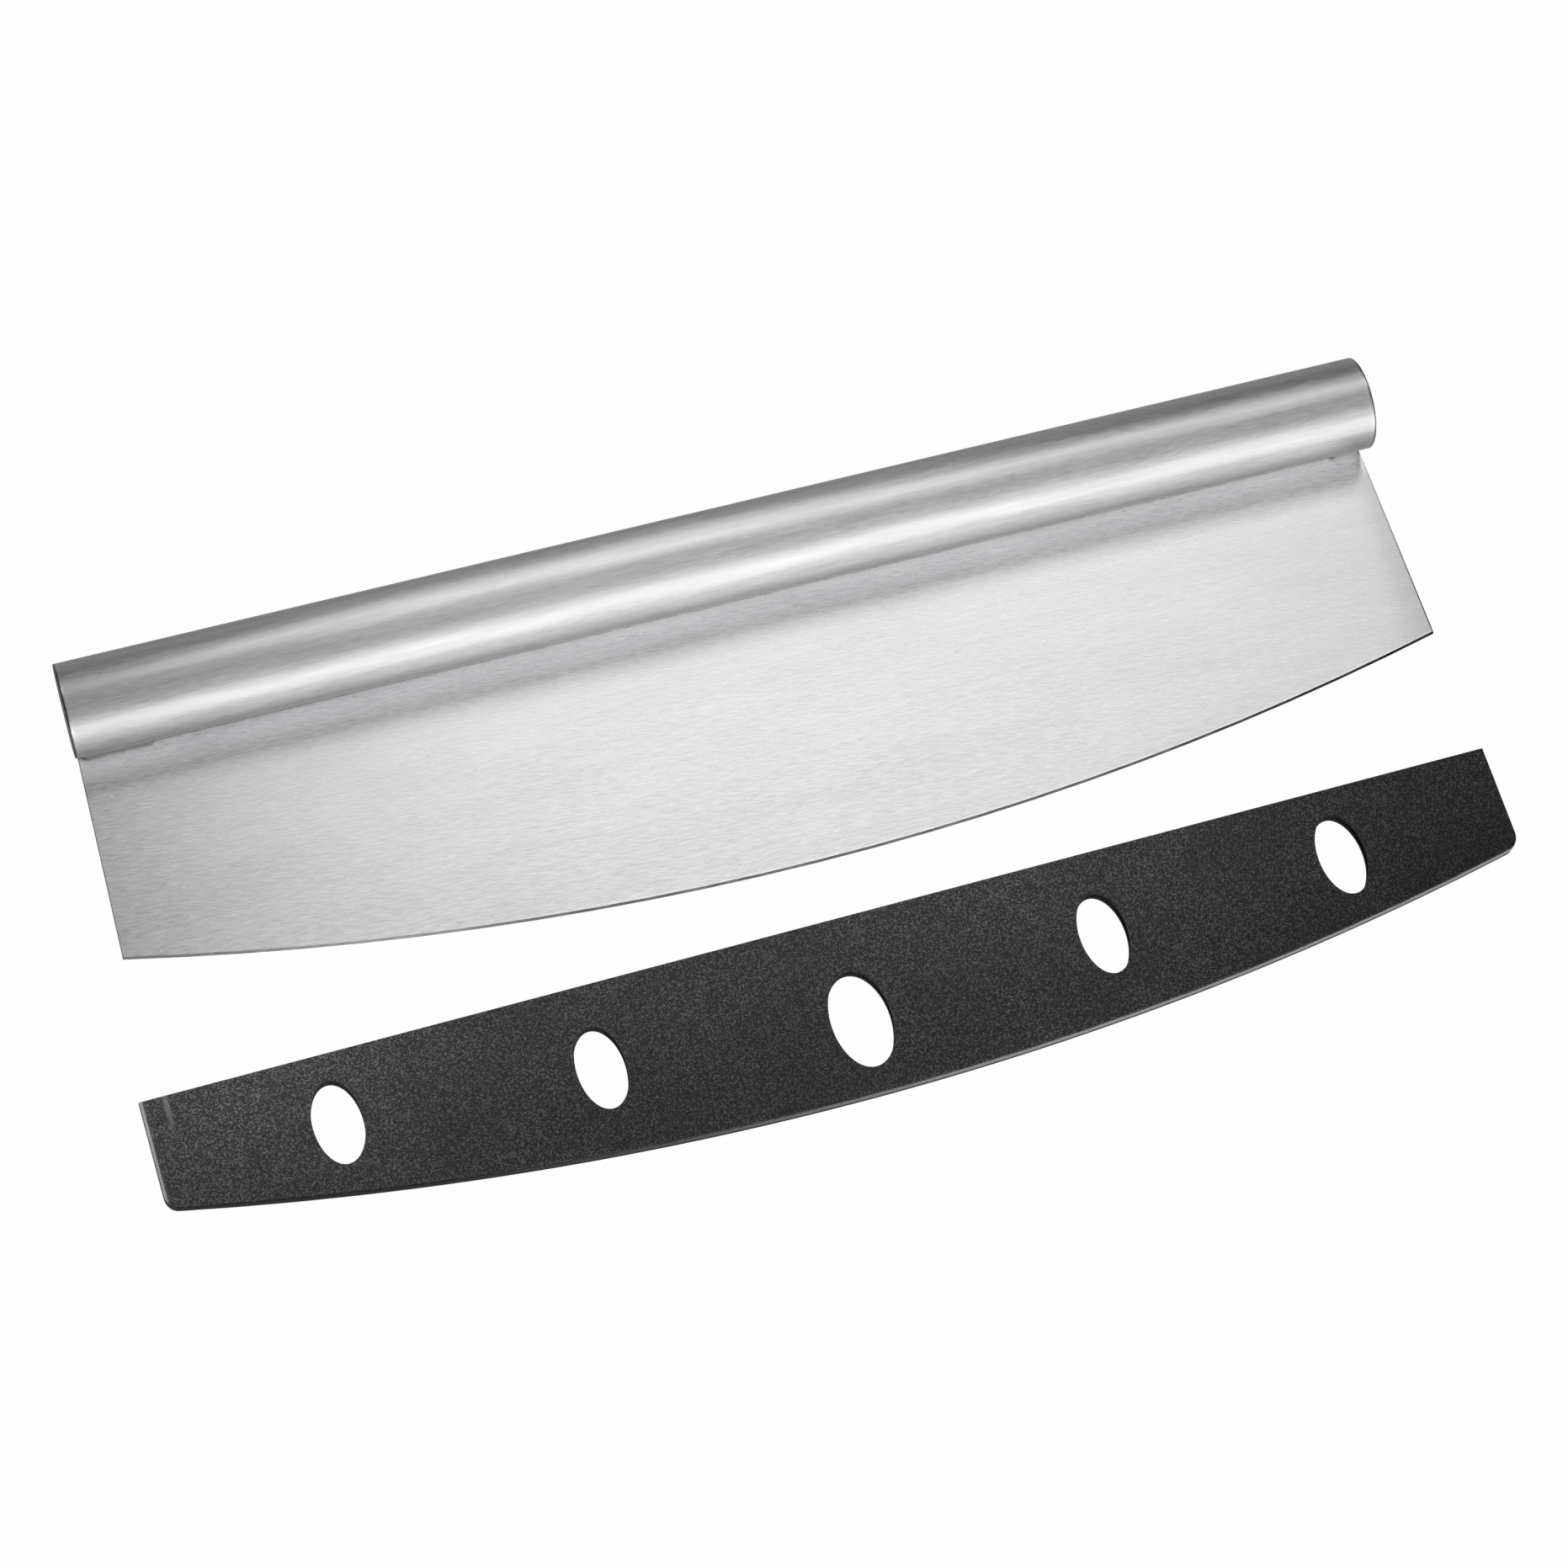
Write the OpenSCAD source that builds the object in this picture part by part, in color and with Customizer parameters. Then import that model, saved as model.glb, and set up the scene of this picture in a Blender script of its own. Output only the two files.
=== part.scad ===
// Rocking pizza knife: a tube handle over a curved sheet blade, with a slip-off blade guard.
// X runs along the handle, Y towards the handle, Z up from the table the set lies on.

/* [Handle] */
// Overall length of the handle, over both end caps
handle_l = 356; // [200:1:520]
// Outside diameter of the handle tube
handle_d = 25; // [20:0.5:38]
// Wall of the handle tube
tube_wall = 1.2; // [0.8:0.1:2]
// Thickness of each end cap
cap_t = 0.8; // [0.6:0.1:2]
// Rounding of an end cap's outer edge
cap_round = 0.3; // [0.1:0.05:0.5]

/* [Blade] */
// Thickness of the blade sheet
blade_t = 1.2; // [0.8:0.1:2]
// Height of the blade's back face above the table
blade_z = 1.4; // [1.4:0.1:3]
// How far below the handle's axis the blade's top edge is tucked
blade_tuck = 1; // [0:0.5:3]
// How much wider the blade is across its two lower corners than the handle is long
blade_flare = 1.6; // [-6:0.1:12]
// Depth of the lower corners below the handle's axis
corner_drop = 65.3; // [45:0.1:110]
// How much lower the middle of the cutting edge is than its corners
edge_sag = 20.3; // [10:0.1:40]
// Width of the ground bevel along the cutting edge
bevel_w = 0.5; // [0.4:0.1:2]
// Flat left at the very edge between the two bevels
edge_land = 0.3; // [0.1:0.1:0.5]

/* [Tack welds] */
// Radius of the weld bead in the corner under the handle
weld_r = 2.2; // [1.8:0.1:3]
// Length of the left bead
weld_left_l = 20; // [6:1:30]
// Length of the right bead
weld_right_l = 8; // [6:1:30]
// Distance of a bead's outer end from the end of the tube
weld_inset = 0.4; // [0.2:0.1:3]

/* [Guard] */
// Wall of the guard on each side of the blade
guard_wall = 1.1; // [0.8:0.1:2]
// Gap between the blade's faces and the guard's walls
slot_gap = 0.3; // [0.2:0.05:0.6]
// Gap past each lower corner of the blade inside the guard
end_gap = 1.8; // [1.5:0.05:4]
// End wall of the guard
guard_end_wall = 1.15; // [0.8:0.05:3]
// Height of the guard at its ends, where the curve would meet them
guard_end_h = 28.5; // [24:0.1:34]
// How much lower the middle of the guard's curved edge is than its ends
guard_sag = 19.6; // [10:0.1:30]
// Wall along the guard's curved edge
guard_floor = 2; // [1.2:0.1:4]
// Rounding of the guard's lower corners
guard_corner_r = 4.5; // [2:0.5:6]
// Rounding of the curved edge's two rims
guard_rim_r = 0.8; // [0.3:0.1:1]

/* [Guard holes] */
// Width of the middle hole
mid_hole_w = 16; // [8:0.1:20]
// Height of the middle hole
mid_hole_h = 26.4; // [12:0.1:30]
// Depth of the middle hole's centre below the guard's top edge
mid_hole_drop = 27.8; // [22:0.1:30]
// Width of the four outer holes
side_hole_w = 12.9; // [6:0.1:18]
// Height of the four outer holes
side_hole_h = 22.5; // [10:0.1:24]
// Distance from one hole to the next
hole_pitch = 67.6; // [40:0.1:80]
// Depth of the inner pair's centres below the guard's top edge
inner_hole_drop = 22.4; // [18:0.1:26]
// Depth of the outer pair's centres below the guard's top edge
outer_hole_drop = 18.4; // [15:0.1:21]

/* [Guard set down beside the knife] */
// Turn of the guard on the table
guard_turn = 0.525; // [0:0.005:0.6]
// Gap between the blade's lowest point and the guard's top edge
guard_apart = 16.8; // [8:0.1:60]
// Sideways place of the guard's middle from the handle's middle
guard_shift = -2.2; // [-2.8:0.05:0]

/* [Hidden] */
$fn = 96;
cut = 1;
hole_points = 64;

tube_r = handle_d / 2;
tube_l = handle_l - 2 * cap_t;
// The blade's back face is flush with the handle's underside
axis_z = blade_z + tube_r;
blade_top = -blade_tuck;
blade_front = blade_z + blade_t;
blade_w = handle_l + blade_flare;
edge_r = (pow(blade_w / 2, 2) + pow(edge_sag, 2)) / (2 * edge_sag);
edge_low = -corner_drop - edge_sag;
edge_cy = edge_low + edge_r;
// Where the handle's underside meets the front face of the blade
seam_y = -sqrt(pow(tube_r, 2) - pow(axis_z - blade_front, 2));

guard_l = blade_w + 2 * (end_gap + guard_end_wall);
guard_h = guard_end_h + guard_sag;
guard_r = (pow(guard_l / 2, 2) + pow(guard_sag, 2)) / (2 * guard_sag);
guard_cy = guard_r - guard_h;
slot_z = blade_z - slot_gap;
slot_t = blade_t + 2 * slot_gap;
guard_z = slot_z - guard_wall;
guard_t = slot_t + 2 * guard_wall;
guard_x = guard_shift;
guard_y = edge_low - guard_apart;
// Centre of a lower corner's rounding, inside the curved edge
corner_x = guard_l / 2 - guard_corner_r;
corner_y = guard_cy - sqrt(pow(guard_r - guard_corner_r, 2) - pow(corner_x, 2));

// The origin is the middle of the whole set's footprint, at table height
left_x = min(-handle_l / 2, -blade_w / 2, guard_x - cos(guard_turn) * guard_l / 2);
guard_right = guard_x + cos(guard_turn) * corner_x - sin(guard_turn) * corner_y + guard_corner_r;
right_x = max(handle_l / 2, blade_w / 2, guard_right);
low_y = guard_y + cos(guard_turn) * guard_cy - guard_r;
origin_x = (left_x + right_x) / 2;
origin_y = (tube_r + low_y) / 2;

module in_frame() {
  translate([-origin_x, -origin_y, 0]) children();
}

module along_x(length) {
  translate([-length / 2, 0, axis_z])
    rotate([90, 0, 90])
      linear_extrude(length) children();
}

module blade_blank(extra) {
  translate([0, 0, blade_z])
    linear_extrude(blade_t)
      polygon([
        [-tube_l / 2 - extra, blade_top],
        [tube_l / 2 + extra, blade_top],
        [tube_l / 2 + extra, seam_y],
        [blade_w / 2 + extra, -corner_drop],
        [blade_w / 2 + extra, edge_low - cut],
        [-blade_w / 2 - extra, edge_low - cut],
        [-blade_w / 2 - extra, -corner_drop],
        [-tube_l / 2 - extra, seam_y]
      ]);
}

// A full disc of the sheet, ground on both sides to a narrow land at its rim
module ground_disc() {
  mid_z = blade_z + blade_t / 2;
  translate([0, edge_cy, 0])
    rotate_extrude($fn = 720)
      polygon([
        [0, blade_z],
        [edge_r - bevel_w, blade_z],
        [edge_r, mid_z - edge_land / 2],
        [edge_r, mid_z + edge_land / 2],
        [edge_r - bevel_w, blade_front],
        [0, blade_front]
      ]);
}

module handle_tube() {
  color("silver")
    in_frame()
      difference() {
        along_x(tube_l) circle(r = tube_r);
        along_x(tube_l + 2 * cut) circle(r = tube_r - tube_wall);
        blade_blank(cut);
      }
}

module end_cap(side) {
  color("gainsboro")
    in_frame()
      translate([side * tube_l / 2, 0, axis_z])
        rotate([0, side * 90, 0])
          rotate_extrude()
            union() {
              square([tube_r - cap_round, cap_t]);
              square([tube_r, cap_t - cap_round]);
              translate([tube_r - cap_round, cap_t - cap_round])
                intersection() {
                  circle(r = cap_round);
                  square(cap_round);
                }
            }
}

module end_cap_left() {
  end_cap(-1);
}

module end_cap_right() {
  end_cap(1);
}

module blade() {
  color("lightgray")
    in_frame()
      intersection() {
        blade_blank(0);
        ground_disc();
      }
}

// A short bead laid in the corner between the handle and the blade's front face
module tack_weld(side, length) {
  bead_y = seam_y - weld_r;
  bead_z = blade_front + weld_r / 2;
  outer_x = tube_l / 2 - weld_inset - weld_r;
  run = length - 2 * weld_r;
  color("whitesmoke")
    in_frame()
      difference() {
        translate([side * outer_x, bead_y, bead_z])
          rotate([0, -side * 90, 0]) {
            cylinder(r = weld_r, h = run, $fn = 32);
            sphere(r = weld_r, $fn = 32);
            translate([0, 0, run]) sphere(r = weld_r, $fn = 32);
          }
        along_x(handle_l) circle(r = tube_r);
        translate([-handle_l / 2, seam_y - 4 * weld_r, blade_front - 4 * weld_r])
          cube([handle_l, 8 * weld_r, 4 * weld_r]);
      }
}

module tack_weld_left() {
  tack_weld(-1, weld_left_l);
}

module tack_weld_right() {
  tack_weld(1, weld_right_l);
}

module oval(width, height) {
  polygon([
    for (i = [1 : hole_points])
      [width / 2 * cos(360 * i / hole_points), height / 2 * sin(360 * i / hole_points)]
  ]);
}

module guard_outline() {
  difference() {
    translate([-guard_l / 2, -guard_h - cut]) square([guard_l, guard_h + cut]);
    for (side = [-1, 1])
      translate([side * corner_x, corner_y])
        difference() {
          translate([side > 0 ? 0 : -2 * guard_corner_r, -guard_h])
            square([2 * guard_corner_r, guard_h]);
          circle(r = guard_corner_r);
        }
  }
}

// The curved edge: a disc as thick as the guard with both rims rounded
module guard_disc() {
  translate([0, guard_cy, guard_z])
    rotate_extrude($fn = 720)
      union() {
        square([guard_r - guard_rim_r, guard_t]);
        translate([0, guard_rim_r]) square([guard_r, guard_t - 2 * guard_rim_r]);
        for (rim_z = [guard_rim_r, guard_t - guard_rim_r])
          translate([guard_r - guard_rim_r, rim_z]) circle(r = guard_rim_r, $fn = 32);
      }
}

module guard_slot() {
  slot_l = guard_l - 2 * guard_end_wall;
  intersection() {
    translate([-slot_l / 2, -guard_h, slot_z]) cube([slot_l, guard_h + cut, slot_t]);
    translate([0, guard_cy, slot_z]) cylinder(r = guard_r - guard_floor, h = slot_t, $fn = 720);
  }
}

module guard_holes() {
  translate([0, 0, guard_z - cut])
    linear_extrude(guard_t + 2 * cut) {
      translate([0, -mid_hole_drop]) oval(mid_hole_w, mid_hole_h);
      for (side = [-1, 1]) {
        translate([side * hole_pitch, -inner_hole_drop]) oval(side_hole_w, side_hole_h);
        translate([side * 2 * hole_pitch, -outer_hole_drop]) oval(side_hole_w, side_hole_h);
      }
    }
}

module blade_guard() {
  color("dimgray")
    in_frame()
      translate([guard_x, guard_y, 0])
        rotate([0, 0, guard_turn])
          difference() {
            intersection() {
              translate([0, 0, guard_z]) linear_extrude(guard_t) guard_outline();
              guard_disc();
            }
            guard_slot();
            guard_holes();
          }
}

handle_tube();
end_cap_left();
end_cap_right();
blade();
tack_weld_left();
tack_weld_right();
blade_guard();
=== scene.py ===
import math

import bpy
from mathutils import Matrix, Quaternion, Vector


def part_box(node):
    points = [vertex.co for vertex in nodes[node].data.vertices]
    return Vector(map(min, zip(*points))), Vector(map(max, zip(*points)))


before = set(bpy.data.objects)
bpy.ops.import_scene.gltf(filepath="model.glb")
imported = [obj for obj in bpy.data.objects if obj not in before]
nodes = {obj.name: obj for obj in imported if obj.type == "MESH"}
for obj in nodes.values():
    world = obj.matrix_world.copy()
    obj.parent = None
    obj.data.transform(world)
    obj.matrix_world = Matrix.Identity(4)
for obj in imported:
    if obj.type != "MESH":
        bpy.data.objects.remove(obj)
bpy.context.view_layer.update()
scene = bpy.context.scene
scene.view_settings.view_transform = "Standard"
print("stage: frame loaded, nodes", sorted(nodes))


# helpers for shader nodes

def addNode(tree, kind, label="", inputs=None, **settings):
    made = tree.nodes.new(kind)
    made.label = label
    for name, value in settings.items():
        setattr(made, name, value)
    for name, value in (inputs or {}).items():
        made.inputs[name].default_value = value
    return made


def link(tree, source, target):
    tree.links.new(source, target)


def mathNode(tree, operation, first, second=None, third=None, clamp=False):
    made = tree.nodes.new("ShaderNodeMath")
    made.operation = operation
    made.use_clamp = clamp
    for slot, value in enumerate((first, second, third)):
        if value is None:
            continue
        if isinstance(value, (int, float)):
            made.inputs[slot].default_value = value
        else:
            tree.links.new(value, made.inputs[slot])
    return made.outputs[0]


def rampNode(tree, value, low, high, lowOut=0.0, highOut=1.0):
    made = addNode(tree, "ShaderNodeMapRange", interpolation_type="SMOOTHSTEP")
    tree.links.new(value, made.inputs["Value"])
    for name, number in (("From Min", low), ("From Max", high), ("To Min", lowOut), ("To Max", highOut)):
        made.inputs[name].default_value = number
    return made.outputs["Result"]


def mixFloat(tree, amount, first, second):
    made = addNode(tree, "ShaderNodeMix", data_type="FLOAT")
    for slot, value in ((0, amount), (2, first), (3, second)):
        if isinstance(value, (int, float)):
            made.inputs[slot].default_value = value
        else:
            tree.links.new(value, made.inputs[slot])
    return made.outputs[0]


def mixColour(tree, amount, first, second, blend="MIX"):
    made = addNode(tree, "ShaderNodeMix", data_type="RGBA", blend_type=blend)
    for slot, value in ((0, amount), (6, first), (7, second)):
        if isinstance(value, (int, float, tuple)):
            made.inputs[slot].default_value = value
        else:
            tree.links.new(value, made.inputs[slot])
    return made.outputs[2]


def scaledColour(tree, colour, factor):
    scaled = addNode(tree, "ShaderNodeVectorMath", operation="SCALE")
    link(tree, colour, scaled.inputs[0])
    link(tree, factor, scaled.inputs["Scale"])
    return scaled.outputs[0]


def newGroup(name, inputs, outputs):
    tree = bpy.data.node_groups.new(name, "ShaderNodeTree")
    for label, kind, default in inputs:
        socket = tree.interface.new_socket(name=label, in_out="INPUT", socket_type=kind)
        if default is not None:
            socket.default_value = default
    for label, kind in outputs:
        tree.interface.new_socket(name=label, in_out="OUTPUT", socket_type=kind)
    return tree, tree.nodes.new("NodeGroupInput"), tree.nodes.new("NodeGroupOutput")


floatKind, vectorKind, colourKind = "NodeSocketFloat", "NodeSocketVector", "NodeSocketColor"


def turnedPlace(tree, place, turn):
    turned = addNode(tree, "ShaderNodeVectorRotate", rotation_type="Z_AXIS")
    link(tree, place, turned.inputs["Vector"])
    link(tree, turn, turned.inputs["Angle"])
    return turned.outputs[0]


def stretchedNoise(tree, place, along, across, detail):
    mapping = addNode(tree, "ShaderNodeMapping")
    mapping.inputs["Scale"].default_value = (along, across, across)
    link(tree, place, mapping.inputs["Vector"])
    noise = addNode(tree, "ShaderNodeTexNoise", inputs={"Scale": 1.0, "Detail": detail, "Roughness": 0.6})
    link(tree, mapping.outputs[0], noise.inputs["Vector"])
    return noise.outputs["Fac"]


def makeBrushedGroup():
    # brush strokes that run along X: short fine strokes, longer faint bands, soft clouds and a few pale nicks
    tree, given, result = newGroup(
        "brushedSteel",
        [
            ("Place", vectorKind, None),
            ("Colour", colourKind, (0.6, 0.6, 0.6, 1.0)),
            ("Stroke Contrast", floatKind, 0.12),
            ("Band Contrast", floatKind, 0.06),
            ("Cloud Contrast", floatKind, 0.06),
            ("Roughness", floatKind, 0.3),
            ("Nicks", floatKind, 0.3),
            ("Turn", floatKind, 0.0),
        ],
        [("Colour", colourKind), ("Roughness", floatKind), ("Height", floatKind)],
    )
    place = given.outputs["Place"]
    turn = given.outputs["Turn"]
    strokes = stretchedNoise(tree, turnedPlace(tree, place, turn), 260.0, 2400.0, 1.0)
    crossTurn = mathNode(tree, "MULTIPLY_ADD", turn, 1.0, -0.05)
    fine = stretchedNoise(tree, turnedPlace(tree, place, crossTurn), 420.0, 4200.0, 1.0)
    bands = stretchedNoise(tree, place, 34.0, 620.0, 2.0)
    clouds = stretchedNoise(tree, place, 18.0, 60.0, 2.0)
    nickPlace = addNode(tree, "ShaderNodeMapping")
    nickPlace.inputs["Scale"].default_value = (420.0, 420.0, 420.0)
    link(tree, place, nickPlace.inputs["Vector"])
    nickCells = addNode(tree, "ShaderNodeTexVoronoi", inputs={"Scale": 1.0})
    link(tree, nickPlace.outputs[0], nickCells.inputs["Vector"])
    rare = addNode(tree, "ShaderNodeSeparateColor")
    link(tree, nickCells.outputs["Color"], rare.inputs[0])
    rareMask = rampNode(tree, rare.outputs[0], 0.93, 0.95)
    nickMask = mathNode(tree, "MULTIPLY", rareMask, rampNode(tree, nickCells.outputs["Distance"], 0.34, 0.10))
    nick = mathNode(tree, "MULTIPLY", nickMask, given.outputs["Nicks"])

    def swing(value, contrast):
        return mathNode(tree, "MULTIPLY", mathNode(tree, "SUBTRACT", value, 0.5), given.outputs[contrast])

    mixed = mathNode(tree, "MULTIPLY_ADD", strokes, 0.6, mathNode(tree, "MULTIPLY", fine, 0.4))
    stroke = mathNode(tree, "MULTIPLY", swing(mixed, "Stroke Contrast"), 4.0)
    level = mathNode(tree, "ADD", 1.0, stroke)
    level = mathNode(tree, "ADD", level, mathNode(tree, "MULTIPLY", swing(bands, "Band Contrast"), 4.0))
    level = mathNode(tree, "ADD", level, mathNode(tree, "MULTIPLY", swing(clouds, "Cloud Contrast"), 4.0))
    level = mathNode(tree, "ADD", level, nick)
    link(tree, scaledColour(tree, given.outputs["Colour"], level), result.inputs["Colour"])
    centred = mathNode(tree, "SUBTRACT", mixed, 0.5)
    rough = mathNode(tree, "MULTIPLY_ADD", centred, 0.3, given.outputs["Roughness"])
    link(tree, mathNode(tree, "ADD", rough, mathNode(tree, "MULTIPLY", nick, 0.3), clamp=True), result.inputs["Roughness"])
    link(tree, mixed, result.inputs["Height"])
    return tree


def makeGrainGroup():
    # fine moulded grain: small pale and dark speckles with soft broader clouds
    tree, given, result = newGroup(
        "mouldedGrain",
        [
            ("Place", vectorKind, None),
            ("Colour", colourKind, (0.03, 0.03, 0.03, 1.0)),
            ("Speckle Colour", colourKind, (0.1, 0.1, 0.1, 1.0)),
            ("Speckle", floatKind, 0.5),
            ("Roughness", floatKind, 0.5),
        ],
        [("Colour", colourKind), ("Roughness", floatKind), ("Height", floatKind)],
    )
    place = given.outputs["Place"]
    grain = stretchedNoise(tree, place, 2600.0, 2600.0, 1.0)
    coarse = stretchedNoise(tree, place, 1300.0, 1300.0, 1.0)
    clouds = stretchedNoise(tree, place, 30.0, 30.0, 2.0)
    both = mathNode(tree, "MULTIPLY_ADD", grain, 0.9, mathNode(tree, "MULTIPLY", coarse, 0.1))
    speckle = rampNode(tree, both, 0.45, 0.70)
    amount = mathNode(tree, "MULTIPLY", speckle, given.outputs["Speckle"])
    amount = mathNode(tree, "MULTIPLY", amount, rampNode(tree, clouds, 0.2, 0.8, 0.7, 1.2))
    link(tree, mixColour(tree, amount, given.outputs["Colour"], given.outputs["Speckle Colour"]), result.inputs["Colour"])
    link(tree, mathNode(tree, "MULTIPLY_ADD", both, 0.2, given.outputs["Roughness"], clamp=True), result.inputs["Roughness"])
    link(tree, both, result.inputs["Height"])
    return tree


def makeWearAndLightGroup():
    # edge colour mixed in along a given rim mask and broken into patches: rubbed pale rims on the tube and caps,
    # painted shade on the blade's bevel and painted highlights on the guard
    tree, given, result = newGroup(
        "edgeWearAndLight",
        [
            ("Colour", colourKind, (0.5, 0.5, 0.5, 1.0)),
            ("Edge Colour", colourKind, (0.8, 0.8, 0.8, 1.0)),
            ("Rim", floatKind, 0.0),
            ("Place", vectorKind, None),
            ("Amount", floatKind, 0.5),
            ("Broken", floatKind, 0.65),
        ],
        [("Colour", colourKind), ("Mask", floatKind)],
    )
    patch = stretchedNoise(tree, given.outputs["Place"], 160.0, 160.0, 3.0)
    gap = mathNode(tree, "MULTIPLY", rampNode(tree, patch, 0.65, 0.3), given.outputs["Broken"])
    mask = mathNode(tree, "MULTIPLY", given.outputs["Rim"], mathNode(tree, "SUBTRACT", 1.0, gap))
    mask = mathNode(tree, "MULTIPLY", mask, given.outputs["Amount"], clamp=True)
    link(tree, mixColour(tree, mask, given.outputs["Colour"], given.outputs["Edge Colour"]), result.inputs["Colour"])
    link(tree, mask, result.inputs["Mask"])
    return tree


brushedGroup = makeBrushedGroup()
grainGroup = makeGrainGroup()
wearAndLightGroup = makeWearAndLightGroup()
print("stage: shader groups made")


def newMaterial(name):
    made = bpy.data.materials.new(name)
    made.use_nodes = True
    tree = made.node_tree
    tree.nodes.clear()
    shader = addNode(tree, "ShaderNodeBsdfPrincipled")
    output = addNode(tree, "ShaderNodeOutputMaterial")
    link(tree, shader.outputs[0], output.inputs[0])
    return made, tree, shader


def placeGroup(tree, group, values, place=None):
    made = addNode(tree, "ShaderNodeGroup", node_tree=group)
    for name, value in values.items():
        made.inputs[name].default_value = value
    if place is not None:
        link(tree, place, made.inputs["Place"])
    return made


def objectPlace(tree):
    return addNode(tree, "ShaderNodeTexCoord").outputs["Object"]


def bumpFrom(tree, height, strength, distance):
    bump = addNode(tree, "ShaderNodeBump", inputs={"Strength": strength, "Distance": distance})
    link(tree, height, bump.inputs["Height"])
    return bump.outputs[0]


def brushedSteel(name, finish, rimMask=None, toneMask=None, nickMask=None):
    made, tree, shader = newMaterial(name)
    place = objectPlace(tree)
    brushed = placeGroup(tree, brushedGroup, {
        "Colour": finish["colour"], "Stroke Contrast": finish["strokes"], "Band Contrast": finish["bands"],
        "Cloud Contrast": finish["clouds"], "Roughness": finish["roughness"], "Nicks": finish["nicks"],
        "Turn": math.radians(finish["turn"]),
    }, place)
    if nickMask is not None:
        link(tree, nickMask(tree, place), brushed.inputs["Nicks"])
    colour, roughness = brushed.outputs["Colour"], brushed.outputs["Roughness"]
    # the rim mask gives rubbed pale rims on the tube and caps, and painted shade on the blade's bevel
    if rimMask is not None:
        edgeMarked = placeGroup(tree, wearAndLightGroup, {
            "Edge Colour": finish["rimColour"], "Amount": finish["rimAmount"], "Broken": finish["rimBroken"],
        }, place)
        link(tree, colour, edgeMarked.inputs["Colour"])
        link(tree, rimMask(tree, place), edgeMarked.inputs["Rim"])
        colour = edgeMarked.outputs["Colour"]
    # the tone mask scales the colour by painted light and shade
    if toneMask is not None:
        colour = scaledColour(tree, colour, toneMask(tree, place))
    link(tree, colour, shader.inputs["Base Color"])
    link(tree, roughness, shader.inputs["Roughness"])
    link(tree, bumpFrom(tree, brushed.outputs["Height"], finish["bump"], 0.00006), shader.inputs["Normal"])
    shader.inputs["Metallic"].default_value = finish.get("metallic", 1.0)
    shader.inputs["Anisotropic"].default_value = finish["anisotropy"]
    if finish["anisotropy"] > 0:
        across = addNode(tree, "ShaderNodeTangent", direction_type="RADIAL", axis="X")
        link(tree, across.outputs[0], shader.inputs["Tangent"])
    return made


def dress(name, material):
    piece = nodes[name]
    piece.data.materials.clear()
    piece.data.materials.append(material)
    return piece


def xyzOf(tree, place):
    made = addNode(tree, "ShaderNodeSeparateXYZ")
    link(tree, place, made.inputs[0])
    return made.outputs


# handle tube

handleTube = {
    "colour": (0.691, 0.692, 0.700, 1.0), "strokes": 0.16, "bands": 0.10, "clouds": 0.03, "roughness": 0.341, "nicks": 0.04,
    "turn": 0.0, "bump": 0.35, "anisotropy": 0.743, "rimColour": (0.85, 0.85, 0.86, 1.0), "rimAmount": 0.45,
    "rimBroken": 0.65, "rimWidth": 0.0016, "lowFrontShade": -0.004, "lowFrontFade": (0.55, 0.25),
}
tubeLow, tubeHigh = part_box("handle_tube")


def tubeRim(tree, place):
    # pale burnished ring at each end of the tube
    x = xyzOf(tree, place)[0]
    fromMiddle = mathNode(tree, "ABSOLUTE", mathNode(tree, "SUBTRACT", x, (tubeLow.x + tubeHigh.x) / 2))
    half = (tubeHigh.x - tubeLow.x) / 2
    return rampNode(tree, fromMiddle, half - handleTube["rimWidth"], half)


def tubeTone(tree, place):
    # painted shade: the front of the tube is painted a touch darker low down, where it faces down and forward
    lean = xyzOf(tree, addNode(tree, "ShaderNodeNewGeometry").outputs["True Normal"])
    low = rampNode(tree, lean[2], *handleTube["lowFrontFade"], 0.0, handleTube["lowFrontShade"])
    return mathNode(tree, "MULTIPLY_ADD", low, rampNode(tree, lean[1], 0.0, -0.5), 1.0)


dress("handle_tube", brushedSteel("handleSteel", handleTube, tubeRim, tubeTone))
print("stage: handle dressed")

# end caps

endCap = {
    "colour": (0.58, 0.58, 0.585, 1.0), "strokes": 0.10, "bands": 0.05, "clouds": 0.05, "roughness": 0.3, "nicks": 0.2,
    "turn": 0.0, "bump": 0.25, "anisotropy": 0.0, "rimColour": (0.8, 0.8, 0.81, 1.0), "rimAmount": 0.8,
    "rimBroken": 0.65, "rimWidth": 0.0012, "lipShade": 0.75, "lipWidth": 0.00045,
}
capRadius = (tubeHigh.z - tubeLow.z) / 2
tubeAxisY, tubeAxisZ = (tubeLow.y + tubeHigh.y) / 2, (tubeLow.z + tubeHigh.z) / 2


def capRim(tree, place):
    # pale ring near the cap's outer edge
    xyz = xyzOf(tree, place)
    up = mathNode(tree, "SUBTRACT", xyz[1], tubeAxisY)
    side = mathNode(tree, "SUBTRACT", xyz[2], tubeAxisZ)
    radius = mathNode(tree, "SQRT", mathNode(tree, "ADD", mathNode(tree, "MULTIPLY", up, up), mathNode(tree, "MULTIPLY", side, side)))
    return rampNode(tree, radius, capRadius - endCap["rimWidth"], capRadius)


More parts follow.
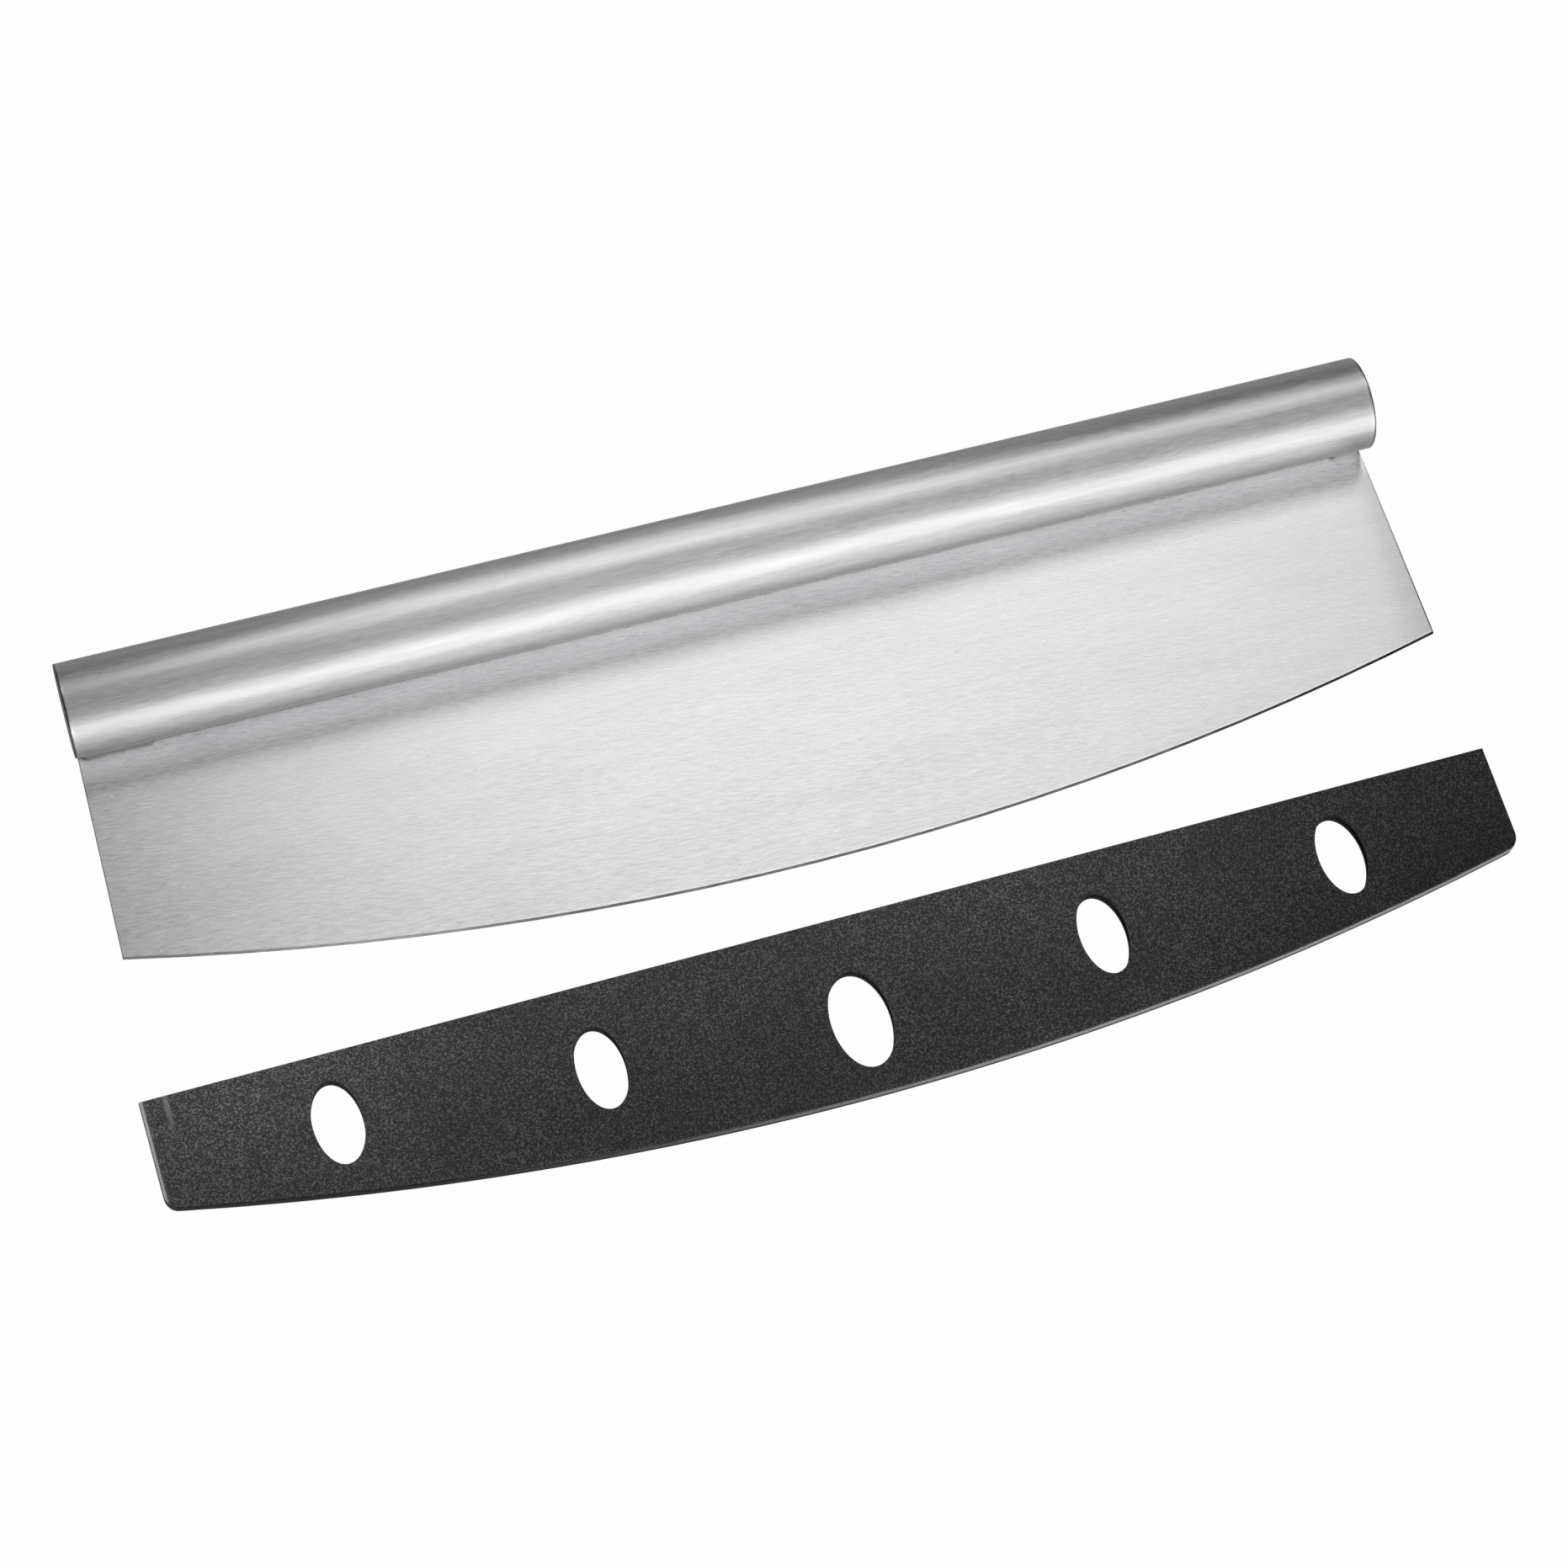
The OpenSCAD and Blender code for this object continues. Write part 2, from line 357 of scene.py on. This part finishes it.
def capTone(tree, place):
    # painted shade: a dark line is painted on the outermost lip of each cap
    middle = (tubeLow.x + tubeHigh.x) / 2
    reach = (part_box("end_cap_right")[1].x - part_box("end_cap_left")[0].x) / 2
    fromMiddle = mathNode(tree, "ABSOLUTE", mathNode(tree, "SUBTRACT", xyzOf(tree, place)[0], middle))
    lip = rampNode(tree, fromMiddle, reach - 1.3 * endCap["lipWidth"], reach - 0.7 * endCap["lipWidth"])
    return mathNode(tree, "MULTIPLY_ADD", lip, -endCap["lipShade"], 1.0)


capSteel = brushedSteel("capSteel", endCap, capRim, capTone)
for capName in ("end_cap_left", "end_cap_right"):
    dress(capName, capSteel)
print("stage: end caps dressed")

# blade

bladeSheet = {
    "colour": (0.776, 0.777, 0.786, 1.0), "strokes": 0.30, "bands": 0.03, "clouds": 0.03, "roughness": 0.308, "nicks": 0.40,
    "turn": 5.0, "bump": 0.12, "anisotropy": 0.7, "rimColour": (0.02, 0.02, 0.02, 1.0), "rimAmount": 1.0, "rimBroken": 0.1,
    "rimFade": ((-0.165, -0.05, 0.90), (0.06, 0.16, 0.10)), "ridgeHighlight": 0.20, "ridgeFade": (-0.12, -0.05),
    "ridgeBand": (0.0010, 0.0008, 0.0005), "endLineShade": (0.50, 0.85), "endWidth": 0.0003, "endTopShare": 0.35,
    "endShade": (0.20, 0.14), "endShadeWidth": (0.013, 0.0045),
    "nickReach": 0.034, "creaseHighlight": 0.168, "liftStart": 0.0090, "liftWidth": 0.0053, "creaseShade": 0.5,
    "cornerWidth": (0.0095, 0.0089), "extraHighlight": 0.22, "extraWidth": 0.0034, "extraFade": (-0.12, -0.02),
    "stripInside": (0.0016, 0.0011), "stripDepth": (0.018, 0.012), "stripHighlight": 0.25,
}
bladeLow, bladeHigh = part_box("blade")
bladeMiddleX, bladeReach = (bladeLow.x + bladeHigh.x) / 2, (bladeHigh.x - bladeLow.x) / 2
seamY = tubeAxisY - math.sqrt(capRadius ** 2 - (tubeAxisZ - bladeHigh.z) ** 2)
cornerY = max((vertex.co for vertex in nodes["blade"].data.vertices), key=lambda corner: corner.x).y


def arcRadius(half, sag):
    return (half * half + sag * sag) / (2 * sag)


def distanceFrom(tree, x, y, middleX, middleY):
    across = mathNode(tree, "SUBTRACT", x, middleX)
    down = mathNode(tree, "SUBTRACT", y, middleY)
    squares = mathNode(tree, "MULTIPLY_ADD", across, across, mathNode(tree, "MULTIPLY", down, down))
    return mathNode(tree, "SQRT", squares)


edgeRadius = arcRadius(bladeReach, cornerY - bladeLow.y)


def groundEdgeShade(tree, place):
    # painted shade: the ground bevel is the only long face of the blade that leans, and it is painted dark, darker to
    # the right
    lean = mathNode(tree, "ABSOLUTE", xyzOf(tree, addNode(tree, "ShaderNodeNewGeometry").outputs["True Normal"])[2])
    x = xyzOf(tree, place)[0]
    (low, high, most), (lastLow, lastHigh, last) = bladeSheet["rimFade"]
    across = mathNode(tree, "ADD", rampNode(tree, x, low, high, 0.0, most), rampNode(tree, x, lastLow, lastHigh, 0.0, last))
    return mathNode(tree, "MULTIPLY", rampNode(tree, lean, 0.985, 0.93), across)


def bladeLightAndShade(tree, place):
    # painted light and shade: a dark line along each slanting end, a darker strip beside the right one, a painted
    # shadow in the crease under the handle with a painted highlight band below it, a painted highlight close to the
    # right end near the handle, and a painted highlight just inside the cutting edge
    x, y = xyzOf(tree, place)[0], xyzOf(tree, place)[1]
    offset = mathNode(tree, "SUBTRACT", x, bladeMiddleX)
    topReach = (tubeHigh.x - tubeLow.x) / 2
    slant = (bladeReach - topReach) / (cornerY - seamY)
    reach = mathNode(tree, "MULTIPLY_ADD", mathNode(tree, "SUBTRACT", y, seamY), slant, topReach)
    inside = mathNode(tree, "SUBTRACT", reach, mathNode(tree, "ABSOLUTE", offset))
    line = rampNode(tree, inside, 1.2 * bladeSheet["endWidth"], 0.8 * bladeSheet["endWidth"])
    line = mathNode(tree, "MULTIPLY", line, rampNode(tree, offset, -bladeReach, bladeReach, *bladeSheet["endLineShade"]))
    upward = rampNode(tree, y, cornerY, seamY)
    rightward = rampNode(tree, offset, 0.0, 0.5 * bladeReach)
    weaker = mathNode(tree, "MULTIPLY", mathNode(tree, "MULTIPLY", upward, rightward), bladeSheet["endTopShare"] - 1.0)
    line = mathNode(tree, "MULTIPLY", line, mathNode(tree, "ADD", weaker, 1.0))
    (lowShade, topShade), (lowWidth, topWidth) = bladeSheet["endShade"], bladeSheet["endShadeWidth"]
    width = mathNode(tree, "MULTIPLY_ADD", upward, topWidth - lowWidth, lowWidth)
    endShadeStrip = mathNode(tree, "MULTIPLY", rampNode(tree, mathNode(tree, "DIVIDE", inside, width), 1.0, 0.0), rightward)
    endShadeStrip = mathNode(tree, "MULTIPLY", endShadeStrip, mathNode(tree, "MULTIPLY_ADD", upward, topShade - lowShade, lowShade))
    fromRim = mathNode(tree, "SUBTRACT", edgeRadius,
                       distanceFrom(tree, x, y, bladeMiddleX, bladeLow.y + edgeRadius))
    start, full, stop = bladeSheet["ridgeBand"]
    ridgeHighlight = mathNode(tree, "MULTIPLY", rampNode(tree, fromRim, start, full, 0.0, bladeSheet["ridgeHighlight"]),
                     rampNode(tree, fromRim, 0.9 * stop, 1.1 * stop))
    ridgeHighlight = mathNode(tree, "MULTIPLY", ridgeHighlight, rampNode(tree, x, *bladeSheet["ridgeFade"]))
    liftY = tubeAxisY - bladeSheet["liftStart"]
    creaseHighlight = rampNode(tree, y, liftY - bladeSheet["liftWidth"], liftY, 0.0, bladeSheet["creaseHighlight"])
    extra = mathNode(tree, "MULTIPLY", rampNode(tree, y, liftY - bladeSheet["extraWidth"], liftY, 0.0, bladeSheet["extraHighlight"]),
                     rampNode(tree, x, *bladeSheet["extraFade"]))
    creaseHighlight = mathNode(tree, "ADD", creaseHighlight, extra)
    nearEnd = mathNode(tree, "MULTIPLY", rampNode(tree, inside, *bladeSheet["stripInside"]), rightward)
    low, high = bladeSheet["stripDepth"]
    stripHighlight = mathNode(tree, "MULTIPLY", nearEnd, rampNode(tree, y, tubeAxisY - low, tubeAxisY - high, 0.0, bladeSheet["stripHighlight"]))
    far, near = bladeSheet["cornerWidth"]
    corner = rampNode(tree, y, tubeAxisY - far, tubeAxisY - near, 0.0, bladeSheet["creaseShade"])
    corner = mathNode(tree, "MULTIPLY", corner, mathNode(tree, "SUBTRACT", 1.0, nearEnd))
    dark = mathNode(tree, "ADD", mathNode(tree, "ADD", line, endShadeStrip), corner)
    pale = mathNode(tree, "ADD", mathNode(tree, "ADD", 1.0, creaseHighlight), mathNode(tree, "ADD", ridgeHighlight, stripHighlight))
    return mathNode(tree, "SUBTRACT", pale, dark)


def bladeNicks(tree, place):
    # pale nicks only near the left end
    x = xyzOf(tree, place)[0]
    near = rampNode(tree, x, bladeLow.x + bladeSheet["nickReach"], bladeLow.x + 0.4 * bladeSheet["nickReach"])
    return mathNode(tree, "MULTIPLY", near, bladeSheet["nicks"])


dress("blade", brushedSteel("bladeSteel", bladeSheet, groundEdgeShade, bladeLightAndShade, bladeNicks))
print("stage: blade dressed")

# tack welds

tackWeld = {
    "colour": (0.80, 0.80, 0.81, 1.0), "strokes": 0.05, "bands": 0.05, "clouds": 0.05, "roughness": 0.55, "nicks": 0.1,
    "turn": 0.0, "bump": 0.5, "anisotropy": 0.0, "metallic": 0.3, "leftShade": 0.6,
}


def weldTone(tree, place):
    # painted shade: the left bead is painted darker than the right one
    return rampNode(tree, xyzOf(tree, place)[0], bladeLow.x, bladeHigh.x, tackWeld["leftShade"], 1.0)


weldSteel = brushedSteel("weldSteel", tackWeld, toneMask=weldTone)
for weldName in ("tack_weld_left", "tack_weld_right"):
    dress(weldName, weldSteel)
print("stage: welds dressed")

# blade guard

bladeGuard = {
    "colour": (0.092, 0.095, 0.093, 1.0), "speckleColour": (0.50, 0.51, 0.505, 1.0), "speckle": 0.72, "roughness": 0.55,
    "specular": 0.08, "bump": 0.2, "leftShade": 1.35, "leftFade": (-0.17, -0.06), "rightShade": 0.48,
    "rightFade": (0.04, 0.19), "lowShade": 0.70, "lowReach": 0.042, "wallDark": 0.95,
    "rimColour": (0.90, 0.90, 0.90, 1.0), "rimAmount": 1.0, "rimBroken": 0.15, "rimReach": (0.0005, 0.0002),
    "stripHighlight": 0.62, "rimTop": (0.97, 0.87), "rimFoot": (0.28, 0.65), "rimFade": (-0.13, 0.06), "leftDark": 0.8,
    "endLine": 1.0, "endBand": (0.0001, 0.00025, 0.00075, 0.0010), "endGlow": 0.10, "endGlowReach": 0.002,
    "spotPlace": 0.0066, "spotHalf": 0.0010, "spotReach": 0.012, "spotHighlight": 0.30,
}
guardLow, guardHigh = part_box("blade_guard")
guardCorners = [vertex.co for vertex in nodes["blade_guard"].data.vertices]


def guardTurnAngle():
    # the guard's top edge is its one straight long edge, and its two corners give its turn on the table
    right = max(guardCorners, key=lambda corner: (round(corner.y, 5), corner.x))
    left = max(guardCorners, key=lambda corner: (-corner.x * 20.0 + corner.y))
    return math.atan2(right.y - left.y, right.x - left.x)


guardTurn = guardTurnAngle()
guardCos, guardSin = math.cos(guardTurn), math.sin(guardTurn)
straight = [(corner.x * guardCos + corner.y * guardSin, corner.y * guardCos - corner.x * guardSin) for corner in guardCorners]
guardLeft, guardRight = min(along for along, up in straight), max(along for along, up in straight)
guardBottom, guardTop = min(up for along, up in straight), max(up for along, up in straight)
guardMiddle, guardHalf = (guardLeft + guardRight) / 2, (guardRight - guardLeft) / 2


def guardRadius():
    # the curved edge's radius, from its lowest point and one of its points towards the right end
    shares = [((along - guardMiddle) / guardHalf, up) for along, up in straight]
    share, up = min((pair for pair in shares if 0.7 < pair[0] < 0.8), key=lambda pair: pair[1])
    return arcRadius(share * guardHalf, up - guardBottom)


curveRadius = guardRadius()
print("stage: guard measured, turn", round(math.degrees(guardTurn), 3), "radius", round(curveRadius, 4))


def guardPlaces(tree, place):
    # how far a point lies from the left end, below the top edge, inside the curved edge, and its share of the height
    turned = addNode(tree, "ShaderNodeVectorRotate", inputs={"Angle": -guardTurn}, rotation_type="Z_AXIS")
    link(tree, place, turned.inputs["Vector"])
    along, up, height = xyzOf(tree, turned.outputs[0])
    fromLeft = mathNode(tree, "SUBTRACT", along, guardLeft)
    belowTop = mathNode(tree, "SUBTRACT", guardTop, up)
    inside = mathNode(tree, "SUBTRACT", curveRadius,
                      distanceFrom(tree, along, up, guardMiddle, guardBottom + curveRadius))
    share = mathNode(tree, "MULTIPLY", mathNode(tree, "SUBTRACT", height, guardLow.z), 1.0 / (guardHigh.z - guardLow.z))
    return fromLeft, belowTop, inside, share


def guardHighlights(tree, place):
    # painted highlights: a pale strip high on the curved edge that fades out to the left, a pale line and a faint glow
    # along the left end, and a small pale spot near the left end
    fromLeft, belowTop, inside, share = guardPlaces(tree, place)
    stripHighlight = mathNode(tree, "MULTIPLY", rampNode(tree, inside, *bladeGuard["rimReach"]), rampNode(tree, share, *bladeGuard["rimTop"]))
    stripHighlight = mathNode(tree, "MULTIPLY", stripHighlight, rampNode(tree, share, *bladeGuard["rimFoot"], 0.0, bladeGuard["stripHighlight"]))
    stripHighlight = mathNode(tree, "MULTIPLY", stripHighlight, rampNode(tree, xyzOf(tree, place)[0], *bladeGuard["rimFade"]))
    start, full, last, stop = bladeGuard["endBand"]
    line = mathNode(tree, "MULTIPLY", rampNode(tree, fromLeft, start, full), rampNode(tree, fromLeft, stop, last))
    line = mathNode(tree, "MULTIPLY", line, bladeGuard["endLine"])
    glow = mathNode(tree, "MULTIPLY", rampNode(tree, fromLeft, start, full),
                    rampNode(tree, fromLeft, bladeGuard["endGlowReach"], full, 0.0, bladeGuard["endGlow"]))
    offSpot = mathNode(tree, "ABSOLUTE", mathNode(tree, "SUBTRACT", fromLeft, bladeGuard["spotPlace"]))
    spotHighlight = mathNode(tree, "MULTIPLY", rampNode(tree, offSpot, bladeGuard["spotHalf"], 0.3 * bladeGuard["spotHalf"]),
                   rampNode(tree, belowTop, bladeGuard["spotReach"], 0.2 * bladeGuard["spotReach"], 0.0, bladeGuard["spotHighlight"]))
    flat = rampNode(tree, xyzOf(tree, addNode(tree, "ShaderNodeNewGeometry").outputs["True Normal"])[2], 0.9, 0.98)
    marks = mathNode(tree, "MULTIPLY", mathNode(tree, "MAXIMUM", mathNode(tree, "MAXIMUM", line, glow), spotHighlight), flat)
    return mathNode(tree, "MAXIMUM", stripHighlight, marks)


def guardShade(tree, place):
    # painted light and shade: lighter towards the left end, darker towards the right end and low down, on the upright
    # walls and on the left part of the curved edge, but for the pale strip
    x = xyzOf(tree, place)[0]
    fromLeft, belowTop, inside, share = guardPlaces(tree, place)
    shade = mathNode(tree, "MULTIPLY", rampNode(tree, x, *bladeGuard["leftFade"], bladeGuard["leftShade"], 1.0),
                     rampNode(tree, x, *bladeGuard["rightFade"], 1.0, bladeGuard["rightShade"]))
    shade = mathNode(tree, "MULTIPLY", shade,
                     rampNode(tree, belowTop, 0.0, bladeGuard["lowReach"], 1.0, bladeGuard["lowShade"]))
    lean = mathNode(tree, "ABSOLUTE", xyzOf(tree, addNode(tree, "ShaderNodeNewGeometry").outputs["True Normal"])[2])
    onCurve = rampNode(tree, inside, *bladeGuard["rimReach"])
    lit = mathNode(tree, "MULTIPLY", rampNode(tree, share, *bladeGuard["rimFoot"]),
                   rampNode(tree, x, *bladeGuard["rimFade"]))
    lit = mathNode(tree, "MULTIPLY", lit, onCurve)
    wall = mathNode(tree, "MULTIPLY", rampNode(tree, lean, 0.4, 0.1, 0.0, bladeGuard["wallDark"]),
                    mathNode(tree, "SUBTRACT", 1.0, lit))
    edge = mathNode(tree, "MULTIPLY", onCurve, rampNode(tree, lean, 0.95, 0.5))
    edge = mathNode(tree, "MULTIPLY", edge, rampNode(tree, x, *bladeGuard["rimFade"], bladeGuard["leftDark"], 0.0))
    shade = mathNode(tree, "MULTIPLY", shade, mathNode(tree, "SUBTRACT", 1.0, mathNode(tree, "MAXIMUM", wall, edge)))
    # the pale painted highlight strip takes none of this painted shade along the whole guard
    return mixFloat(tree, lit, shade, 1.0)


def guardPlastic():
    made, tree, shader = newMaterial("guardPlastic")
    place = objectPlace(tree)
    grain = placeGroup(tree, grainGroup, {
        "Colour": bladeGuard["colour"], "Speckle Colour": bladeGuard["speckleColour"],
        "Speckle": bladeGuard["speckle"], "Roughness": bladeGuard["roughness"],
    }, place)
    edgeMarked = placeGroup(tree, wearAndLightGroup, {
        "Edge Colour": bladeGuard["rimColour"], "Amount": bladeGuard["rimAmount"], "Broken": bladeGuard["rimBroken"],
    }, place)
    link(tree, grain.outputs["Colour"], edgeMarked.inputs["Colour"])
    link(tree, guardHighlights(tree, place), edgeMarked.inputs["Rim"])
    link(tree, scaledColour(tree, edgeMarked.outputs["Colour"], guardShade(tree, place)), shader.inputs["Base Color"])
    link(tree, grain.outputs["Roughness"], shader.inputs["Roughness"])
    link(tree, bumpFrom(tree, grain.outputs["Height"], bladeGuard["bump"], 0.00015), shader.inputs["Normal"])
    shader.inputs["Specular IOR Level"].default_value = bladeGuard["specular"]
    return made


dress("blade_guard", guardPlastic())
print("stage: guard dressed")

# floor

floorPlate = {"colour": (0.88, 0.88, 0.88, 1.0), "radius": 30.0, "whiteShare": 0.985, "drop": 0.0003}


def makeFloor():
    steps = 64
    ring = [(math.cos(2 * math.pi * i / steps) * floorPlate["radius"],
             math.sin(2 * math.pi * i / steps) * floorPlate["radius"], -floorPlate["drop"]) for i in range(steps)]
    mesh = bpy.data.meshes.new("floorPlate")
    mesh.from_pydata(ring, [], [tuple(range(steps))])
    floor = bpy.data.objects.new("floorPlate", mesh)
    scene.collection.objects.link(floor)
    made = bpy.data.materials.new("floorPaint")
    made.use_nodes = True
    tree = made.node_tree
    tree.nodes.clear()
    paint = addNode(tree, "ShaderNodeBsdfDiffuse", inputs={"Color": floorPlate["colour"]})
    white = addNode(tree, "ShaderNodeEmission", inputs={"Color": (1.0, 1.0, 1.0, 1.0), "Strength": 1.0})
    path = addNode(tree, "ShaderNodeLightPath")
    seen = mathNode(tree, "MAXIMUM", path.outputs["Is Camera Ray"], path.outputs["Is Glossy Ray"])
    seen = mathNode(tree, "MAXIMUM", seen, path.outputs["Is Transmission Ray"])
    share = mathNode(tree, "MULTIPLY", seen, floorPlate["whiteShare"])
    mix = addNode(tree, "ShaderNodeMixShader")
    link(tree, share, mix.inputs[0])
    link(tree, paint.outputs[0], mix.inputs[1])
    link(tree, white.outputs[0], mix.inputs[2])
    output = addNode(tree, "ShaderNodeOutputMaterial")
    link(tree, mix.outputs[0], output.inputs[0])
    mesh.materials.append(made)


makeFloor()
print("stage: floor laid")

# studio light

studioLight = {
    "roomLevel": 0.673, "leftFade": (-0.008, 0.052), "rightFade": (0.092, 0.392), "rightShare": 0.322,
    "backFade": (0.55, 0.95), "backShare": 0.242, "rightBackShare": 0.0, "frontFade": (0.75, 1.0),
    "frontLevel": 0.472,
    "lamps": [
        {"name": "windowHigh", "angle": 29.54, "side": 0.317, "size": (0.883, 0.436), "level": 1.369},
        {"name": "windowTop", "angle": 56.76, "side": 0.165, "size": (0.342, 0.725), "level": 0.767},
        {"name": "windowFront", "angle": -74.51, "side": 0.304, "size": (1.230, 0.887), "level": 1.073},
        {"name": "fillFront", "angle": -46.79, "side": 0.426, "size": (0.714, 0.448), "level": 0.471},
    ],
    "lampReach": 1.4, "lampAim": (0.3, 0.03),
    "card": {"low": (-0.7, -0.02), "high": (1.0, 0.70), "drop": 0.00015, "level": 0.293, "rightLevel": 0.297,
             "fade": (-0.1, 0.25)},
}


def lightRoom():
    # a soft room, dark to the left and low behind the knife, and brighter low in front of it
    world = bpy.data.worlds.new("studioRoom")
    scene.world = world
    world.use_nodes = True
    tree = world.node_tree
    tree.nodes.clear()
    way = xyzOf(tree, addNode(tree, "ShaderNodeTexCoord").outputs["Generated"])
    right = rampNode(tree, way[0], *studioLight["rightFade"])
    behind = rampNode(tree, way[1], *studioLight["backFade"])
    deep = mathNode(tree, "MULTIPLY_ADD", right, studioLight["rightBackShare"] - studioLight["backShare"],
                    studioLight["backShare"])
    level = rampNode(tree, way[0], *studioLight["leftFade"], 0.0, studioLight["roomLevel"])
    level = mathNode(tree, "MULTIPLY", level, mathNode(tree, "MULTIPLY_ADD", right, studioLight["rightShare"] - 1.0, 1.0))
    dimmed = mathNode(tree, "MULTIPLY_ADD", mathNode(tree, "SUBTRACT", deep, 1.0), behind, 1.0)
    level = mathNode(tree, "MULTIPLY", level, dimmed)
    front = mathNode(tree, "MULTIPLY", way[1], -1.0)
    glow = rampNode(tree, front, *studioLight["frontFade"], 0.0, studioLight["frontLevel"])
    room = addNode(tree, "ShaderNodeBackground", inputs={"Color": (1.0, 1.0, 1.0, 1.0)})
    link(tree, mathNode(tree, "ADD", level, glow), room.inputs["Strength"])
    output = addNode(tree, "ShaderNodeOutputWorld")
    link(tree, room.outputs[0], output.inputs[0])


def hangLamp(lamp):
    # a lamp's angle leans from straight up towards the back of the knife
    data = bpy.data.lights.new(lamp["name"], "AREA")
    data.shape = "RECTANGLE"
    data.size, data.size_y = lamp["size"]
    data.energy = lamp["level"] * math.pi * data.size * data.size_y
    placed = bpy.data.objects.new(lamp["name"], data)
    scene.collection.objects.link(placed)
    lean, reach = math.radians(lamp["angle"]), studioLight["lampReach"]
    placed.location = (lamp["side"], reach * math.sin(lean), reach * math.cos(lean))
    aimShare, aimY = studioLight["lampAim"]
    aim = Vector((lamp["side"] * aimShare, aimY, 0.0)) - Vector(placed.location)
    placed.rotation_euler = aim.to_track_quat("-Z", "Y").to_euler()


def layCard():
    # a grey card behind the handle, darker to the right, that only reflections show
    card = studioLight["card"]
    (lowX, lowY), (highX, highY), z = card["low"], card["high"], -card["drop"]
    mesh = bpy.data.meshes.new("greyCard")
    mesh.from_pydata([(lowX, lowY, z), (highX, lowY, z), (highX, highY, z), (lowX, highY, z)], [], [(0, 1, 2, 3)])
    made = bpy.data.materials.new("greyCard")
    made.use_nodes = True
    tree = made.node_tree
    tree.nodes.clear()
    glow = addNode(tree, "ShaderNodeEmission", inputs={"Color": (1.0, 1.0, 1.0, 1.0)})
    level = rampNode(tree, xyzOf(tree, objectPlace(tree))[0], *card["fade"], card["level"], card["rightLevel"])
    link(tree, level, glow.inputs["Strength"])
    link(tree, glow.outputs[0], addNode(tree, "ShaderNodeOutputMaterial").inputs[0])
    mesh.materials.append(made)
    placed = bpy.data.objects.new("greyCard", mesh)
    scene.collection.objects.link(placed)
    placed.visible_camera = False
    placed.visible_shadow = False
    placed.visible_diffuse = False


lightRoom()
for lamp in studioLight["lamps"]:
    hangLamp(lamp)
layCard()
print("stage: studio lit")

# camera, solved from the outlines of the knife and the guard

camera = {"place": (-0.19889, -0.38693, 1.06321), "aim": (0.00015, 0.00746, 0.0), "roll": 11.041, "lens": 101.05}


def placeCamera():
    data = bpy.data.cameras.new("photoCamera")
    data.lens = camera["lens"]
    data.sensor_width = 36.0
    placed = bpy.data.objects.new("photoCamera", data)
    scene.collection.objects.link(placed)
    placed.location = camera["place"]
    aim = Vector(camera["aim"]) - Vector(camera["place"])
    turned = aim.to_track_quat("-Z", "Y") @ Quaternion((0.0, 0.0, 1.0), math.radians(camera["roll"]))
    placed.rotation_mode = "QUATERNION"
    placed.rotation_quaternion = turned
    data.clip_start, data.clip_end = 0.05, 100.0
    scene.camera = placed


placeCamera()
print("stage: camera placed")
